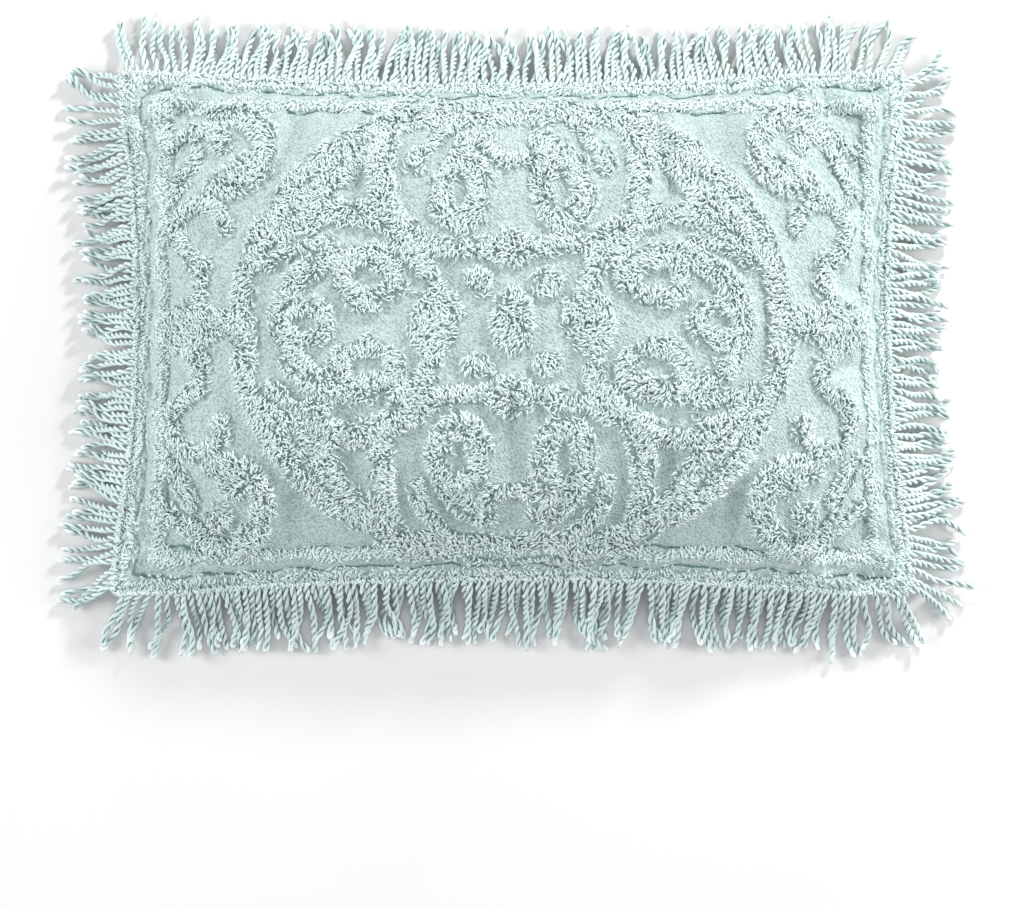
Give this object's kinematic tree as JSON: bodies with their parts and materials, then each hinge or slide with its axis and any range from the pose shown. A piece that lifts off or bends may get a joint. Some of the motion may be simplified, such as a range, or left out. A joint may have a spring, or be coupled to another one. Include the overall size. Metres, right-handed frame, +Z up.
{
  "type": "fringed chenille pillow sham on its pillow",
  "caption": "Filled rectangular pillow sham with drawn-in sides, a tufted scroll medallion front and twisted bullion fringe on all four sides.",
  "frame": {"origin": "under the middle of the whole part, on the surface it lies on", "axes": "+X along the long side, +Y across it, +Z up out of the tufted front"},
  "size_m": [0.8703, 0.6231, 0.126],
  "materials": {
    "chenille_cloth": "matte",
    "bullion_fringe": "matte"
  },
  "bodies": {
    "root": {"sham": "chenille_cloth", "fringe_front": "bullion_fringe", "fringe_right": "bullion_fringe", "fringe_back": "bullion_fringe", "fringe_left": "bullion_fringe"}
  },
  "joints": []
}
